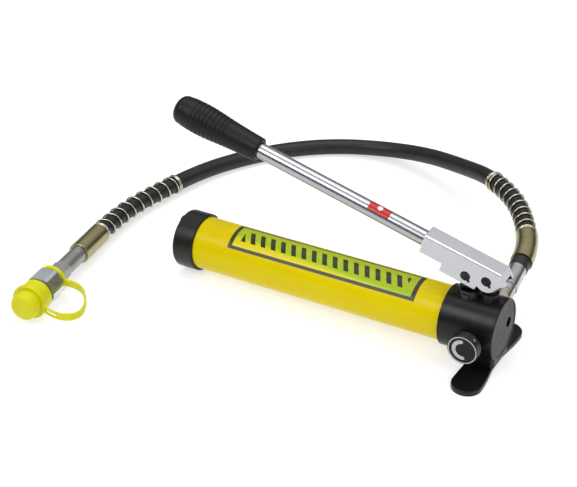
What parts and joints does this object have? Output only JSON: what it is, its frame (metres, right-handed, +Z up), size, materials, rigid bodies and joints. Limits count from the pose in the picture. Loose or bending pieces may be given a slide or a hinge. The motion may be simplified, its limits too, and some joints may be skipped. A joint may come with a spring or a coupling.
{
  "type": "hydraulic hand pump",
  "caption": "Lever-operated hydraulic hand pump with a tubular oil reservoir, foot plate, release valve and an outlet hose with a capped coupler.",
  "frame": {"origin": "middle of the foot plate, on its underside", "axes": "+Z up, +X out of the front of the pump head, -X back along the reservoir, +Y towards the hose outlet"},
  "size_m": [0.5176, 0.5452, 0.2112],
  "materials": {
    "black_paint": "satin black enamel",
    "yellow_paint": "gloss yellow enamel",
    "black_oxide": "black oxide",
    "steel": "ground steel",
    "chrome": "bright chrome",
    "zinc_nickel": "yellow passivated zinc",
    "zinc_clear": "clear zinc plate",
    "spring_steel": "passivated spring wire",
    "black_rubber": "matte, moulded",
    "hose_rubber": "smooth satin cover",
    "seal_rubber": "smooth",
    "black_plastic": "moulded",
    "pale_print": "pad printed",
    "fluorescent_plastic": "flexible moulding",
    "strainer_mesh": "woven wire"
  },
  "bodies": {
    "pump_body": {"pump_head": "black_paint", "rear_cap": "black_paint", "foot_plate": "black_paint", "reservoir_tube": "yellow_paint", "gland_nut": "black_oxide", "plunger_seal": "seal_rubber", "tube_seals": "seal_rubber", "tie_rod": "steel", "tie_rod_nut": "black_oxide", "suction_tube": "steel", "suction_strainer": "strainer_mesh", "foot_screws": "black_oxide", "gallery_plug": "black_oxide", "release_valve_ball": "steel", "relief_screw": "black_oxide", "relief_spring": "spring_steel", "relief_ball": "steel", "inlet_check_ball": "steel", "discharge_check_ball": "steel", "discharge_check_spring": "spring_steel", "outlet_adapter": "zinc_nickel", "head_nipple": "zinc_clear", "head_nipple_band": "black_rubber", "head_ferrule": "zinc_nickel", "hose": "hose_rubber", "head_spring_guard": "spring_steel", "coupler_spring_guard": "spring_steel", "coupler_ferrule": "zinc_nickel", "coupler_nipple": "zinc_clear", "coupler_body": "chrome", "poppet_spring": "spring_steel", "dust_cap_strap": "fluorescent_plastic"},
    "lever": {"lever_socket": "chrome", "lever_tube": "chrome", "grip": "black_rubber", "fulcrum_pin": "black_oxide", "plunger_pin": "black_oxide", "pin_keys": "black_oxide"},
    "plunger": {"plunger": "steel"},
    "release_knob": {"release_knob": "black_plastic", "knob_face": "black_plastic", "knob_marks": "pale_print", "knob_set_screw": "steel", "release_valve_stem": "steel"},
    "filler_plug": {"filler_plug": "black_oxide"},
    "coupler_collar": {"coupler_collar": "chrome"},
    "coupler_poppet": {"coupler_poppet": "steel"},
    "dust_cap": {"dust_cap": "fluorescent_plastic"}
  },
  "joints": [
    {"name": "lever_hinge", "type": "hinge", "parent": "pump_body", "child": "lever", "pos_m": [-0.00544, 0, 0.10228], "axis": [0, 1, 0], "range_deg": [-12, 40]},
    {"name": "plunger_slide", "type": "slide", "parent": "pump_body", "child": "plunger", "axis": [-0.0297, 0, 0.9996], "range_m": [-0.0047, 0.0153]},
    {"name": "release_turn", "type": "hinge", "parent": "pump_body", "child": "release_knob", "pos_m": [-0.00864, -0.04, 0.04176], "axis": [0, -1, 0], "range_deg": [0, 180]},
    {"name": "filler_plug_turn", "type": "hinge", "parent": "pump_body", "child": "filler_plug", "pos_m": [-0.37392, 0, 0.05243], "axis": [-0.9996, 0, -0.0297], "range_deg": [0, 360]},
    {"name": "collar_turn", "type": "hinge", "parent": "pump_body", "child": "coupler_collar", "pos_m": [-0.46124, -0.16635, 0.01982], "axis": [0.1456, -0.9889, 0.0307], "continuous": true},
    {"name": "poppet_slide", "type": "slide", "parent": "pump_body", "child": "coupler_poppet", "axis": [-0.1456, 0.9889, -0.0307], "range_m": [0, 0.004], "stiffness_N_per_m": 400},
    {"name": "dust_cap_pull", "type": "slide", "parent": "pump_body", "child": "dust_cap", "axis": [0.1456, -0.9889, 0.0307], "range_m": [0, 0.03]}
  ],
  "couplings": [
    {"joint": "plunger_slide", "follows": "lever_hinge", "m_per_rad": 0.0216}
  ]
}
